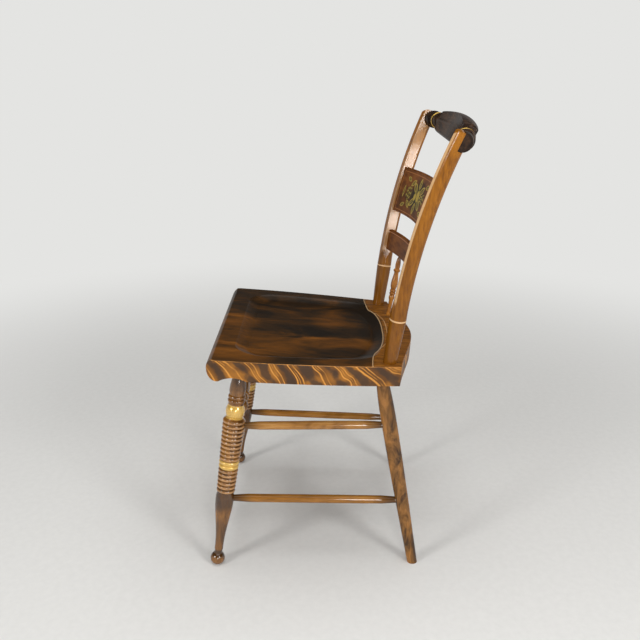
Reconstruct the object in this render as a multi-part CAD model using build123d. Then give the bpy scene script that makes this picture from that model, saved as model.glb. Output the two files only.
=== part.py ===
from build123d import *
import math
import os

# Side chair with a plank seat, ring-turned front legs, bent back posts, two bent slats,
# four short turned spindles and a pillow crest rail. Millimetres.
# X points to the sitter's left, Y to the rear and Z up. Until the last step Y = 0 is the
# cross line that the seat and the legs are measured from, and Z = 0 is the floor.

# ---- joints ----
GLUE_LINE = 0.1
LEG_TENON_LENGTH = 14.0
POST_TENON_LENGTH = 19.0
STRETCHER_PAST_AXIS = 3.0
SLAT_TENON_LENGTH = 10.0
SPINDLE_TENON_LENGTH = 12.0
SPINDLE_TOP_TENON_LENGTH = 9.0
SPINDLE_TOP_TENON_RADIUS = 2.3
CREST_DOWEL_RADIUS = 4.0
CREST_DOWEL_IN_POST = 8.0
CREST_DOWEL_IN_RAIL = 11.0

# ---- seat plank ----
SEAT_FRONT_Y = -222.0
SEAT_FRONT_HEIGHT = 449.5
SEAT_SLOPE = 3.7
SEAT_THICKNESS = 39.0
SEAT_HALF_WIDTH_FRONT = 226.5
SEAT_HALF_WIDTH_MIDDLE = 221.0
SEAT_HALF_WIDTH_REAR = 198.5
SEAT_MIDDLE_Y = -45.0
SEAT_SIDE_REAR_Y = 138.5
SEAT_REAR_BOW = 35.5
SEAT_REAR_BOW_HALFWAY = 20.5
SEAT_FRONT_CORNER_RADIUS = 22.0
SEAT_REAR_CORNER_RADIUS = 3.5
SEAT_ARRIS = 2.0
ROLL_TOP_SETBACK = 14.0
ROLL_NOSE_DROP = 19.0
ROLL_FOOT_SETBACK = 23.0
ROLL_DEPTH = 42.5
SCOOP_LENGTH = 52.0
SCOOP_RISE = 6.0
DISH_DEPTH = 8.0
DISH_SIDE_RIM = 34.0
DISH_FRONT_RIM = 46.0
DISH_REAR_RIM = 52.5
DISH_REAR_FLARE = 5.5
DISH_REAR_BOW = 33.0
DISH_CORNER_RADIUS = 56.0
DISH_WALL = ((-3.0, -1.3), (0.0, 0.0), (7.0, 0.42), (16.0, 0.82), (28.0, 1.0))

# ---- front legs ----
FRONT_SOCKET_FROM_SIDE = 55.0
FRONT_SOCKET_FROM_FRONT = 58.5
FRONT_FOOT_OUTWARD = 34.5
FRONT_FOOT_FORWARD = 56.0
FRONT_TENON_RADIUS = 11.5
FOOT_BALL_RADIUS = 14.2
FOOT_BALL_CENTRE = 13.2
FOOT_NECK_RADIUS = 7.7
FOOT_NECK_LENGTH = 10.0
CALF_RADIUS = 18.0
CALF_STEP_LENGTH = 9.0
RING_COUNT = 18
RING_PITCH = 8.55
RING_BOTTOM_RADIUS = 18.2
RING_TOP_RADIUS = 22.0
RING_GROOVE_DEPTH = 2.3
LEG_BALL_RADIUS = 18.4
LEG_BALL_HALF_WIDTH = 11.8
LEG_BALL_NECK_RADIUS = 15.2
LEG_BALL_BELOW_SEAT = 87.9
RINGS_BELOW_BALL = 16.0
COLLAR_ABOVE_BALL = 5.5
COLLAR_WIDTH = 7.9
COLLAR_RADIUS = 16.8
COLLAR_ROOT_RADIUS = 14.6

# ---- rear legs ----
REAR_SOCKET_FROM_SIDE = 33.0
REAR_SOCKET_FROM_REAR = 34.5
REAR_FOOT_OUTWARD = 28.0
REAR_FOOT_BACKWARD = 70.1
REAR_TENON_RADIUS = 11.5
REAR_FOOT_RADIUS = 10.2
REAR_CALF_RADIUS = 12.9
REAR_THIGH_RADIUS = 14.9

# ---- stretchers ----
SIDE_LOWER_FRONT_HEIGHT = 144.0
SIDE_LOWER_REAR_HEIGHT = 136.0
SIDE_UPPER_FRONT_HEIGHT = 295.0
SIDE_UPPER_REAR_HEIGHT = 295.0
FRONT_UPPER_HEIGHT = 252.0
FRONT_LOWER_HEIGHT = 112.0
REAR_HEIGHT = 215.0
STRETCHER_END_RADIUS = 6.4
STRETCHER_BODY_RADIUS = 8.1
STRETCHER_SWELL = 0.3
STRETCHER_TAPER_LENGTH = 28.0
TURNING_BALL_RADIUS = 15.5
TURNING_BALL_HALF_WIDTH = 18.0
TURNING_NECK_RADIUS = 8.2
TURNING_REEL_RADIUS = 12.0
TURNING_REEL_LENGTH = 26.0
TURNING_RING_RADIUS = 11.7
TURNING_RING_LENGTH = 9.0
ARM_SWELL_RADIUS = 10.4

# ---- back posts ----
POST_FROM_SIDE = 18.5
POST_FROM_REAR = 22.0
POST_FLARE = 6.1
POST_LEAN = 7.5
POST_STRAIGHT_LENGTH = 109.0
POST_BEND_RADIUS = 1200.0
POST_FOOT_RADIUS = 12.5
POST_RING_RADIUS = 15.5
POST_RING_HEIGHT = 90.0
POST_RING_WIDTH = 2.4
POST_RING_GROOVE = 0.8
POST_SWELL_BELOW_RING = 3.0
POST_BODY_RADIUS = 15.0
POST_INNER_FLAT = 11.5
POST_INNER_FLAT_START = 103.0
POST_INNER_FLAT_RUNOUT = 32.0
POST_FRONT_TOE = 16.0
POST_FRONT_FLAT_BOTTOM = 12.6
POST_FRONT_FLAT_TOP = 12.0
POST_FRONT_FLAT_START = 134.0
POST_FRONT_FLAT_RUNOUT = 28.0
POST_TIP_RADIUS = 15.0

# ---- crest rail ----
CREST_HEIGHT_ON_POST = 412.0
CREST_SETBACK = 8.6
CREST_BOW_RADIUS = 930.0
CREST_END_RADIUS = 16.8
CREST_NECK_RADIUS = 15.2
CREST_LAP_FLAT = 5.5
CREST_LAP_DROP = 16.6
CREST_END_REACH = 13.2
CREST_OUTER_BEAD = (200.5, 9.5, 17.3, 18.3)
CREST_GILT_BEAD = (171.5, 3.2, 16.1, 17.4)
CREST_INNER_BEAD = (155.0, 9.5, 16.4, 17.8)
PILLOW_HALF_LENGTH = 132.0
PILLOW_MIDDLE_RADIUS = 29.0
PILLOW_END_RADIUS = 23.8
PILLOW_HALF_THICKNESS = 15.5
PILLOW_SHOULDER_RADIUS = 3.5
PILLOW_TILT = 26.0
PILLOW_DROP = 1.4

# ---- slats ----
SLAT_BOW_RADIUS = 530.0
SLAT_THICKNESS = 7.5
SLAT_EDGE_RADIUS = 1.6
MIDDLE_SLAT_ABOVE_SEAT = 214.4
MIDDLE_SLAT_WIDTH = 93.0
MIDDLE_SLAT_TILT = 17.2
MIDDLE_SLAT_FORWARD = 1.2
LOWER_SLAT_ABOVE_SEAT = 127.9
LOWER_SLAT_WIDTH = 43.5
LOWER_SLAT_TILT = 12.0
LOWER_SLAT_FORWARD = -1.2

# ---- spindles ----
SPINDLE_FOOT_SPACING = 69.0
SPINDLE_TOP_SPACING = 74.0
SPINDLE_FOOT_BEHIND_CORNERS = 4.5
SPINDLE_FOOT_BOW = 9.0
SPINDLE_FOOT_RADIUS = 4.6
SPINDLE_FOOT_LENGTH = 34.0
SPINDLE_NECK_RADIUS = 4.8
SPINDLE_BEAD_RADIUS = 6.4
SPINDLE_BEAD_WIDTH = 12.0
SPINDLE_RING_RADIUS = 6.7
SPINDLE_RING_WIDTH = 6.0
SPINDLE_VASE_RADIUS = 7.3
SPINDLE_VASE_LENGTH = 39.0
SPINDLE_DISC_RADIUS = 7.2
SPINDLE_DISC_WIDTH = 7.0
SPINDLE_TOP_RADIUS = 3.4
SPINDLE_TOP_LENGTH = 3.0


def direction(start, end):
    return (Vector(*end) - Vector(*start)).normalized()


def seat_top_z(y):
    return SEAT_FRONT_HEIGHT - (y - SEAT_FRONT_Y) * math.tan(math.radians(SEAT_SLOPE))


def seat_bottom_z(y):
    return seat_top_z(y) - SEAT_THICKNESS


def turned(points_and_curves, start, end):
    """Revolves a half profile, drawn as (radius, distance from start), about the line start-end."""
    face = make_face(points_and_curves)
    solid = revolve(Plane.XZ * face, Axis.Z)
    return Plane(origin=start, z_dir=direction(start, end)) * solid


def closed_profile(outline):
    """Closes an outline of (radius, distance) edges along the turning axis."""
    first = tuple(outline.vertices().sort_by(Axis.Y)[0])
    last = tuple(outline.vertices().sort_by(Axis.Y)[-1])
    caps = Line((0, first[1]), first[:2]) + Line(last[:2], (0, last[1]))
    return outline + caps + Line((0, last[1]), (0, first[1]))


def rod(radius, start, end, before=0.0, after=0.0):
    """A plain cylinder along start-end, lengthened at its two ends."""
    along = direction(start, end)
    length = (Vector(*end) - Vector(*start)).length + before + after
    base = Vector(*start) - along * before
    cylinder = Cylinder(radius, length, align=(Align.CENTER, Align.CENTER, Align.MIN))
    return Plane(origin=base, z_dir=along) * cylinder


# ---- seat ----
def seat_outline():
    front = SEAT_FRONT_Y - 1
    rear = SEAT_SIDE_REAR_Y
    middle = (SEAT_HALF_WIDTH_MIDDLE, SEAT_MIDDLE_Y)
    edges = Line((-SEAT_HALF_WIDTH_FRONT, front), (SEAT_HALF_WIDTH_FRONT, front))
    edges += ThreePointArc((SEAT_HALF_WIDTH_FRONT, front), middle, (SEAT_HALF_WIDTH_REAR, rear))
    edges += Spline(
        (SEAT_HALF_WIDTH_REAR, rear),
        (SEAT_HALF_WIDTH_REAR / 2, rear + SEAT_REAR_BOW_HALFWAY),
        (0, rear + SEAT_REAR_BOW),
        (-SEAT_HALF_WIDTH_REAR / 2, rear + SEAT_REAR_BOW_HALFWAY),
        (-SEAT_HALF_WIDTH_REAR, rear),
    )
    edges += ThreePointArc(
        (-SEAT_HALF_WIDTH_REAR, rear), (-middle[0], middle[1]), (-SEAT_HALF_WIDTH_FRONT, front)
    )
    face = make_face(edges)
    face = fillet(face.vertices().group_by(Axis.Y)[0], SEAT_FRONT_CORNER_RADIUS)
    return fillet(face.vertices().group_by(Axis.Y)[-1], SEAT_REAR_CORNER_RADIUS)


def seat_side_profile():
    """Side view: rolled front edge, a scoop under it, then a flat underside."""
    roll_top_y = SEAT_FRONT_Y + ROLL_TOP_SETBACK
    roll_top = (roll_top_y, seat_top_z(roll_top_y) + 1)
    nose = (SEAT_FRONT_Y, SEAT_FRONT_HEIGHT - ROLL_NOSE_DROP)
    roll_foot = (SEAT_FRONT_Y + ROLL_FOOT_SETBACK, SEAT_FRONT_HEIGHT - ROLL_DEPTH)
    scoop_end_y = roll_foot[0] + SCOOP_LENGTH
    scoop_middle_y = roll_foot[0] + SCOOP_LENGTH / 2
    scoop_middle = (scoop_middle_y, seat_bottom_z(scoop_middle_y) + SCOOP_RISE)
    scoop_end = (scoop_end_y, seat_bottom_z(scoop_end_y))
    rear_y = SEAT_SIDE_REAR_Y + SEAT_REAR_BOW + SEAT_THICKNESS
    above = SEAT_FRONT_HEIGHT + SEAT_THICKNESS
    edges = ThreePointArc(roll_top, nose, roll_foot)
    edges += ThreePointArc(roll_foot, scoop_middle, scoop_end)
    edges += Polyline(
        scoop_end,
        (rear_y, seat_bottom_z(rear_y)),
        (rear_y, above),
        (roll_top_y + 8, above),
        roll_top,
    )
    return make_face(edges)


def seat_top_plane():
    tilt = math.radians(SEAT_SLOPE)
    normal = (0, math.sin(tilt), math.cos(tilt))
    return Plane(origin=(0, 0, seat_top_z(0)), x_dir=(1, 0, 0), z_dir=normal)


def dish_outline(inset):
    """Boundary of the seat's hollow, drawn in the seat's top plane."""
    front = SEAT_FRONT_Y + DISH_FRONT_RIM + inset
    rear = SEAT_SIDE_REAR_Y - DISH_REAR_RIM - inset
    half_front = SEAT_HALF_WIDTH_FRONT - DISH_SIDE_RIM - inset
    half_middle = SEAT_HALF_WIDTH_MIDDLE - DISH_SIDE_RIM - inset
    half_rear = SEAT_HALF_WIDTH_REAR + DISH_REAR_FLARE - DISH_SIDE_RIM - inset
    edges = Line((-half_front, front), (half_front, front))
    edges += ThreePointArc((half_front, front), (half_middle, SEAT_MIDDLE_Y), (half_rear, rear))
    edges += ThreePointArc((half_rear, rear), (0, rear + DISH_REAR_BOW), (-half_rear, rear))
    edges += ThreePointArc((-half_rear, rear), (-half_middle, SEAT_MIDDLE_Y), (-half_front, front))
    face = make_face(edges)
    return fillet(face.vertices(), DISH_CORNER_RADIUS - inset)


def seat_dish():
    top = seat_top_plane()
    sections = [top.offset(-depth * DISH_DEPTH) * dish_outline(inset) for inset, depth in DISH_WALL]
    return loft(sections)


def seat_blank():
    plank = extrude(seat_top_plane() * seat_outline(), -2 * SEAT_THICKNESS)
    rim = plank.faces().sort_by(Axis.Z)[-1].outer_wire().edges()
    plank = fillet(rim, SEAT_ARRIS)
    side = extrude(Plane.YZ * seat_side_profile(), 2 * SEAT_HALF_WIDTH_FRONT, both=True)
    return (plank & side) - seat_dish()


# ---- legs ----
FRONT_SOCKET_X = SEAT_HALF_WIDTH_FRONT - FRONT_SOCKET_FROM_SIDE
FRONT_SOCKET_Y = SEAT_FRONT_Y + FRONT_SOCKET_FROM_FRONT
FRONT_SOCKET = (FRONT_SOCKET_X, FRONT_SOCKET_Y, seat_bottom_z(FRONT_SOCKET_Y) + SCOOP_RISE)
FRONT_FOOT = (FRONT_SOCKET_X + FRONT_FOOT_OUTWARD, FRONT_SOCKET_Y - FRONT_FOOT_FORWARD, 0.0)
REAR_SOCKET_X = SEAT_HALF_WIDTH_REAR - REAR_SOCKET_FROM_SIDE
REAR_SOCKET_Y = SEAT_SIDE_REAR_Y - REAR_SOCKET_FROM_REAR
REAR_SOCKET = (REAR_SOCKET_X, REAR_SOCKET_Y, seat_bottom_z(REAR_SOCKET_Y))
REAR_FOOT = (REAR_SOCKET_X + REAR_FOOT_OUTWARD, REAR_SOCKET_Y + REAR_FOOT_BACKWARD, 0.0)
FRONT_LEG_LENGTH = (Vector(*FRONT_SOCKET) - Vector(*FRONT_FOOT)).length
REAR_LEG_LENGTH = (Vector(*REAR_SOCKET) - Vector(*REAR_FOOT)).length
LEG_BALL_CENTRE = FRONT_LEG_LENGTH - LEG_BALL_BELOW_SEAT
RING_TOP = LEG_BALL_CENTRE - RINGS_BELOW_BALL
RING_BOTTOM = RING_TOP - RING_COUNT * RING_PITCH


def front_leg_foot_outline():
    """Ball foot, its neck and the long taper up to the rings."""
    ball_low = (0.2 * FOOT_BALL_RADIUS, FOOT_BALL_CENTRE - math.sqrt(0.96) * FOOT_BALL_RADIUS)
    ball_top = (0.58 * FOOT_BALL_RADIUS, FOOT_BALL_CENTRE + math.sqrt(1 - 0.58**2) * FOOT_BALL_RADIUS)
    neck_top = (FOOT_NECK_RADIUS + 0.7, ball_top[1] + FOOT_NECK_LENGTH)
    calf_top = RING_BOTTOM - CALF_STEP_LENGTH
    taper = calf_top - neck_top[1]
    growth = CALF_RADIUS - neck_top[0]
    edges = ThreePointArc(ball_low, (FOOT_BALL_RADIUS, FOOT_BALL_CENTRE), ball_top)
    edges += ThreePointArc(ball_top, (FOOT_NECK_RADIUS, ball_top[1] + FOOT_NECK_LENGTH / 2), neck_top)
    edges += Spline(
        neck_top,
        (neck_top[0] + 0.22 * growth, neck_top[1] + 0.34 * taper),
        (neck_top[0] + 0.52 * growth, neck_top[1] + 0.53 * taper),
        (neck_top[0] + 0.88 * growth, neck_top[1] + 0.76 * taper),
        (CALF_RADIUS, calf_top),
    )
    edges += Line((CALF_RADIUS, calf_top), (RING_BOTTOM_RADIUS - RING_GROOVE_DEPTH, RING_BOTTOM))
    return edges


def front_leg_ring_outline():
    growth = (RING_TOP_RADIUS - RING_BOTTOM_RADIUS) / RING_COUNT
    rings = []
    for ring in range(RING_COUNT):
        low = RING_BOTTOM + ring * RING_PITCH
        crest = RING_BOTTOM_RADIUS + (ring + 0.5) * growth
        root = RING_BOTTOM_RADIUS + ring * growth - RING_GROOVE_DEPTH
        middle = (crest, low + RING_PITCH / 2)
        rings.append(ThreePointArc((root, low), middle, (root + growth, low + RING_PITCH)))
    return rings[0] + rings[1:]


def front_leg_top_outline():
    """Ball, two collars and the vase above the ringed length."""
    neck = LEG_BALL_NECK_RADIUS
    low = LEG_BALL_CENTRE - LEG_BALL_HALF_WIDTH
    high = LEG_BALL_CENTRE + LEG_BALL_HALF_WIDTH
    collar_low = high + COLLAR_ABOVE_BALL
    collar_root = COLLAR_ROOT_RADIUS
    vase_low = collar_low + 2 * COLLAR_WIDTH
    top = FRONT_LEG_LENGTH
    vase = top - vase_low
    edges = Line((RING_TOP_RADIUS - RING_GROOVE_DEPTH, RING_TOP), (neck, low))
    edges += ThreePointArc((neck, low), (LEG_BALL_RADIUS, LEG_BALL_CENTRE), (neck, high))
    edges += Line((neck, high), (collar_root, collar_low))
    for start in (collar_low, collar_low + COLLAR_WIDTH):
        middle = (COLLAR_RADIUS, start + COLLAR_WIDTH / 2)
        edges += ThreePointArc((collar_root, start), middle, (collar_root, start + COLLAR_WIDTH))
    edges += Spline(
        (collar_root, vase_low),
        (collar_root + 1.1, vase_low + 0.18 * vase),
        (collar_root - 0.4, vase_low + 0.46 * vase),
        (FRONT_TENON_RADIUS, top - 0.1 * vase),
    )
    edges += Line((FRONT_TENON_RADIUS, top - 0.1 * vase), (FRONT_TENON_RADIUS, top + LEG_TENON_LENGTH))
    return edges


def front_leg_blank():
    outline = front_leg_foot_outline() + front_leg_ring_outline() + front_leg_top_outline()
    return turned(closed_profile(outline), FRONT_FOOT, FRONT_SOCKET)


def rear_leg_blank():
    top = REAR_LEG_LENGTH
    below = -REAR_FOOT_RADIUS / 2
    edges = Spline(
        (REAR_FOOT_RADIUS - 0.3, below),
        (REAR_CALF_RADIUS, 0.33 * top),
        (REAR_THIGH_RADIUS, 0.72 * top),
        ((REAR_THIGH_RADIUS + REAR_TENON_RADIUS) / 2, 0.94 * top),
        (REAR_TENON_RADIUS, top - 2),
    )
    edges += Line((REAR_TENON_RADIUS, top - 2), (REAR_TENON_RADIUS, top + LEG_TENON_LENGTH))
    return turned(closed_profile(edges), REAR_FOOT, REAR_SOCKET)


def above_floor(leg):
    size = 3 * SEAT_HALF_WIDTH_FRONT
    return leg - Box(size, size, size / 4, align=(Align.CENTER, Align.CENTER, Align.MAX))


def on_axis(foot, socket, height):
    """Point of a leg's axis at this height above the floor."""
    share = height / socket[2]
    return tuple(low + (high - low) * share for low, high in zip(foot, socket))


def mirrored(point):
    return (-point[0], point[1], point[2])


# ---- stretchers ----
def stretcher_ends(start, end):
    """End points of a stretcher whose two tenons pass the legs' axes a little."""
    along = direction(start, end)
    first = Vector(*start) - along * STRETCHER_PAST_AXIS
    last = Vector(*end) + along * STRETCHER_PAST_AXIS
    return first, last


def plain_stretcher(start, end, start_leg_radius, end_leg_radius):
    first, last = stretcher_ends(start, end)
    length = (last - first).length
    low = start_leg_radius + STRETCHER_PAST_AXIS + 1
    high = length - end_leg_radius - STRETCHER_PAST_AXIS - 1
    body = STRETCHER_BODY_RADIUS
    swell = (body + STRETCHER_SWELL, length / 2)
    body_low = (body, low + STRETCHER_TAPER_LENGTH)
    body_high = (body, high - STRETCHER_TAPER_LENGTH)
    edges = Polyline((STRETCHER_END_RADIUS, 0), (STRETCHER_END_RADIUS, low), body_low)
    edges += ThreePointArc(body_low, swell, body_high)
    edges += Polyline(body_high, (STRETCHER_END_RADIUS, high), (STRETCHER_END_RADIUS, length))
    return turned(closed_profile(edges), tuple(first), tuple(last))


def fancy_half_outline(low, middle):
    """From one end to the middle ball: tapered arm, ring, reel and ring."""
    neck = TURNING_NECK_RADIUS
    ball_low = middle - TURNING_BALL_HALF_WIDTH
    reel_high = ball_low - TURNING_RING_LENGTH
    reel_low = reel_high - TURNING_REEL_LENGTH
    arm_end = reel_low - TURNING_RING_LENGTH
    arm = arm_end - low
    edges = Line((STRETCHER_END_RADIUS, 0), (STRETCHER_END_RADIUS, low))
    edges += Spline(
        (STRETCHER_END_RADIUS, low),
        (neck, low + 0.35 * arm),
        (ARM_SWELL_RADIUS, low + 0.72 * arm),
        (neck, arm_end),
    )
    for start in (arm_end, reel_high):
        ring = (TURNING_RING_RADIUS, start + TURNING_RING_LENGTH / 2)
        edges += ThreePointArc((neck, start), ring, (neck, start + TURNING_RING_LENGTH))
    reel = (TURNING_REEL_RADIUS, (reel_low + reel_high) / 2)
    edges += ThreePointArc((neck, reel_low), reel, (neck, reel_high))
    return edges


def fancy_stretcher(start, end, leg_radius):
    """Front stretcher with a ball at its middle between turned rings and long tapered arms."""
    first, last = stretcher_ends(start, end)
    middle = (last - first).length / 2
    half = fancy_half_outline(leg_radius + STRETCHER_PAST_AXIS + 1, middle)
    ball_low = (TURNING_NECK_RADIUS, middle - TURNING_BALL_HALF_WIDTH)
    ball_high = (TURNING_NECK_RADIUS, middle + TURNING_BALL_HALF_WIDTH)
    ball = ThreePointArc(ball_low, (TURNING_BALL_RADIUS, middle), ball_high)
    edges = half + ball + mirror(half, Plane.XZ.offset(-middle))
    return turned(closed_profile(edges), tuple(first), tuple(last))


def socket(start, end):
    """The hole for one stretcher end: its axis runs from the leg's axis towards the other leg."""
    along = direction(start, end)
    bottom = Vector(*start) - along * (STRETCHER_PAST_AXIS + GLUE_LINE)
    mouth = Vector(*start) + along * 2 * RING_TOP_RADIUS
    return rod(STRETCHER_END_RADIUS + GLUE_LINE, tuple(bottom), tuple(mouth))


# ---- back posts ----
FLARE = math.radians(POST_FLARE)
LEAN = math.radians(POST_LEAN)
POST_BASE_X = SEAT_HALF_WIDTH_REAR - POST_FROM_SIDE
POST_BASE_Y = SEAT_SIDE_REAR_Y - POST_FROM_REAR
POST_BASE_Z = seat_top_z(POST_BASE_Y)
# Post plane: x towards the rear, y up along the post's flare, z outwards.
POST_PLANE = Plane(
    origin=(POST_BASE_X, POST_BASE_Y, POST_BASE_Z),
    x_dir=(0, 1, 0),
    z_dir=(math.cos(FLARE), 0, -math.sin(FLARE)),
)
BEND_START = (POST_STRAIGHT_LENGTH * math.sin(LEAN), POST_STRAIGHT_LENGTH * math.cos(LEAN))
BEND_CENTRE = (
    BEND_START[0] + POST_BEND_RADIUS * math.cos(LEAN),
    BEND_START[1] - POST_BEND_RADIUS * math.sin(LEAN),
)


def bend_point(angle, outward=0.0):
    """Point of the post plane on the bend, this far in front of the post's centre line."""
    radius = POST_BEND_RADIUS + outward
    return (
        BEND_CENTRE[0] - radius * math.cos(angle),
        BEND_CENTRE[1] + radius * math.sin(angle),
    )


CREST_ANGLE = math.asin(
    (CREST_HEIGHT_ON_POST - BEND_CENTRE[1]) / (POST_BEND_RADIUS - CREST_SETBACK)
)
CREST_ON_POST = bend_point(CREST_ANGLE, -CREST_SETBACK)
CREST_END = POST_PLANE.from_local_coords(Vector(CREST_ON_POST[0], CREST_ON_POST[1], 0))


def post_centre(height):
    """Centre of the left post at this height above the floor."""
    rise = (height - POST_BASE_Z) / math.cos(FLARE)
    angle = math.asin((rise - BEND_CENTRE[1]) / POST_BEND_RADIUS)
    place = bend_point(angle)
    return POST_PLANE.from_local_coords(Vector(place[0], place[1], 0))


def crest_frame():
    """Frame at the crest's axis on the post: x rearwards, y along the post, z outwards."""
    tilt = CREST_ANGLE
    return Plane(
        origin=(CREST_ON_POST[0], CREST_ON_POST[1], 0),
        x_dir=(math.cos(tilt), -math.sin(tilt), 0),
        z_dir=(0, 0, 1),
    )


def post_turned_length():
    swell_end = POST_RING_HEIGHT - POST_SWELL_BELOW_RING
    ring = POST_RING_RADIUS
    edges = Line((POST_FOOT_RADIUS, -POST_TENON_LENGTH), (POST_FOOT_RADIUS, 1))
    edges += Spline((POST_FOOT_RADIUS, 1), (0.92 * ring, swell_end * 0.5), (ring, swell_end))
    edges += Polyline(
        (ring, swell_end),
        (ring, POST_RING_HEIGHT - POST_RING_WIDTH / 2),
        (ring - POST_RING_GROOVE, POST_RING_HEIGHT),
        (ring, POST_RING_HEIGHT + POST_RING_WIDTH / 2),
        (POST_BODY_RADIUS, POST_STRAIGHT_LENGTH),
    )
    end = (BEND_START[0], BEND_START[1], 0)
    return turned(closed_profile(edges), (0, 0, 0), end)


def post_bent_length(end_angle):
    along = (math.sin(LEAN), math.cos(LEAN), 0)
    start = Plane(origin=(BEND_START[0], BEND_START[1], 0), z_dir=along)
    centre = Axis((BEND_CENTRE[0], BEND_CENTRE[1], 0), (0, 0, -1))
    return revolve(start * Circle(POST_BODY_RADIUS), centre, math.degrees(end_angle - LEAN))


def inner_flat_cutter():
    outside = -POST_BODY_RADIUS - 0.3
    flat_start = POST_INNER_FLAT_START + POST_INNER_FLAT_RUNOUT
    beyond = outside - POST_BODY_RADIUS
    top = 1.2 * CREST_HEIGHT_ON_POST
    profile = Polyline(
        (POST_INNER_FLAT_START, outside),
        (flat_start, -POST_INNER_FLAT),
        (top, -POST_INNER_FLAT),
        (top, beyond),
        (POST_INNER_FLAT_START, beyond),
        close=True,
    )
    return extrude(Plane.YZ * make_face(profile), top, both=True)


def front_flat_cutter(end_angle):
    """What is shaved off in front: the flat is toed in, so it is deeper on the inner side."""
    toe = math.radians(POST_FRONT_TOE)
    clear = POST_BODY_RADIUS / math.cos(toe) + 0.5
    first = math.asin((POST_FRONT_FLAT_START - BEND_CENTRE[1]) / POST_BEND_RADIUS)
    runout = first - POST_FRONT_FLAT_RUNOUT / POST_BEND_RADIUS
    middle = (first + end_angle) / 2
    middle_depth = (POST_FRONT_FLAT_BOTTOM + POST_FRONT_FLAT_TOP) / 2
    low = bend_point(first, POST_FRONT_FLAT_BOTTOM)
    high = bend_point(end_angle, POST_FRONT_FLAT_TOP)
    away = 4 * POST_BODY_RADIUS
    edges = Line(bend_point(runout, clear), low)
    edges += ThreePointArc(low, bend_point(middle, middle_depth), high)
    edges += Polyline(high, bend_point(end_angle, away), bend_point(runout, away), bend_point(runout, clear))
    return extrude(make_face(edges), away, dir=(-math.sin(toe), 0, math.cos(toe)), both=True)


def post_blank():
    """Left post in its own plane: turned foot, bent round body, then the shaved flats and the lap."""
    end_angle = CREST_ANGLE + 1.5 * POST_TIP_RADIUS / POST_BEND_RADIUS
    post = post_turned_length() + post_bent_length(end_angle)
    post -= inner_flat_cutter()
    post -= front_flat_cutter(end_angle)
    size = 4 * POST_BODY_RADIUS
    lap = crest_frame() * Pos(-CREST_LAP_FLAT, -CREST_LAP_DROP, 0) * Box(
        size, size, size, align=(Align.MIN, Align.MIN, Align.CENTER)
    )
    above = crest_frame() * Box(2 * size, size, size, align=(Align.CENTER, Align.MIN, Align.CENTER))
    tip = crest_frame() * Pos(-CREST_SETBACK, 0, 0) * Cylinder(POST_TIP_RADIUS, size)
    return post - lap - (above - tip)


def post_dowel(grow=0.0):
    """Dowel across the lap, on the post's centre plane."""
    start = (-CREST_LAP_FLAT - CREST_DOWEL_IN_POST - grow, 0, 0)
    end = (-CREST_LAP_FLAT + CREST_DOWEL_IN_RAIL + grow, 0, 0)
    return POST_PLANE * crest_frame() * rod(CREST_DOWEL_RADIUS + grow, start, end)


# ---- crest rail ----
CREST_SAG = CREST_BOW_RADIUS - math.sqrt(CREST_BOW_RADIUS**2 - CREST_END.X**2)
CREST_CENTRE_Y = CREST_END.Y + CREST_SAG - CREST_BOW_RADIUS


def crest_station(x):
    """Frame on the crest's axis at this lateral place: z along the axis, towards the left end."""
    angle = math.asin(x / CREST_BOW_RADIUS)
    y = CREST_CENTRE_Y + CREST_BOW_RADIUS * math.cos(angle)
    return Plane(
        origin=(x, y, CREST_END.Z), x_dir=(0, 0, 1), z_dir=(math.cos(angle), -math.sin(angle), 0)
    )


def crest_roll(radius, half_length):
    angle = math.asin(half_length / CREST_BOW_RADIUS)
    axis = Axis((0, CREST_CENTRE_Y, 0), (0, 0, -1))
    return revolve(crest_station(-half_length) * Circle(radius), axis, 2 * math.degrees(angle))


def crest_bead(x, half_width, edge, crown):
    """A bead about the crest's axis, crowned from its edge radius."""
    edges = ThreePointArc((edge, -half_width), (crown, 0), (edge, half_width))
    ring = revolve(Plane.XZ * make_face(closed_profile(edges)), Axis.Z)
    return crest_station(x) * ring


def pillow():
    """Fat middle of the crest: turned to a barrel, then sawn flat in front and behind."""
    bulge = PILLOW_MIDDLE_RADIUS - PILLOW_END_RADIUS
    sections = []
    for share in (-1, -0.75, -0.5, -0.25, 0, 0.25, 0.5, 0.75, 1):
        radius = PILLOW_END_RADIUS + bulge * (1 - share**2)
        sections.append(crest_station(share * PILLOW_HALF_LENGTH) * Circle(radius))
    barrel = Pos(0, 0, -PILLOW_DROP) * loft(sections)
    tilt = math.radians(PILLOW_TILT)
    half = PILLOW_HALF_THICKNESS / math.cos(tilt)
    ring = Circle(CREST_BOW_RADIUS + half) - Circle(CREST_BOW_RADIUS - half)
    drop = 1.5 * PILLOW_MIDDLE_RADIUS
    window = Pos(0, CREST_BOW_RADIUS) * Rectangle(2.3 * PILLOW_HALF_LENGTH, 8 * drop)
    low = CREST_END.Z - PILLOW_DROP - drop
    face = Pos(0, CREST_CENTRE_Y - drop * math.tan(tilt), low) * (ring & window)
    slab = extrude(face, 2 * drop / math.cos(tilt), dir=(0, math.sin(tilt), math.cos(tilt)))
    body = barrel & slab
    ends = body.faces().filter_by(GeomType.PLANE)
    return fillet(ends[0].edges() + ends[1].edges(), PILLOW_SHOULDER_RADIUS)


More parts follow.
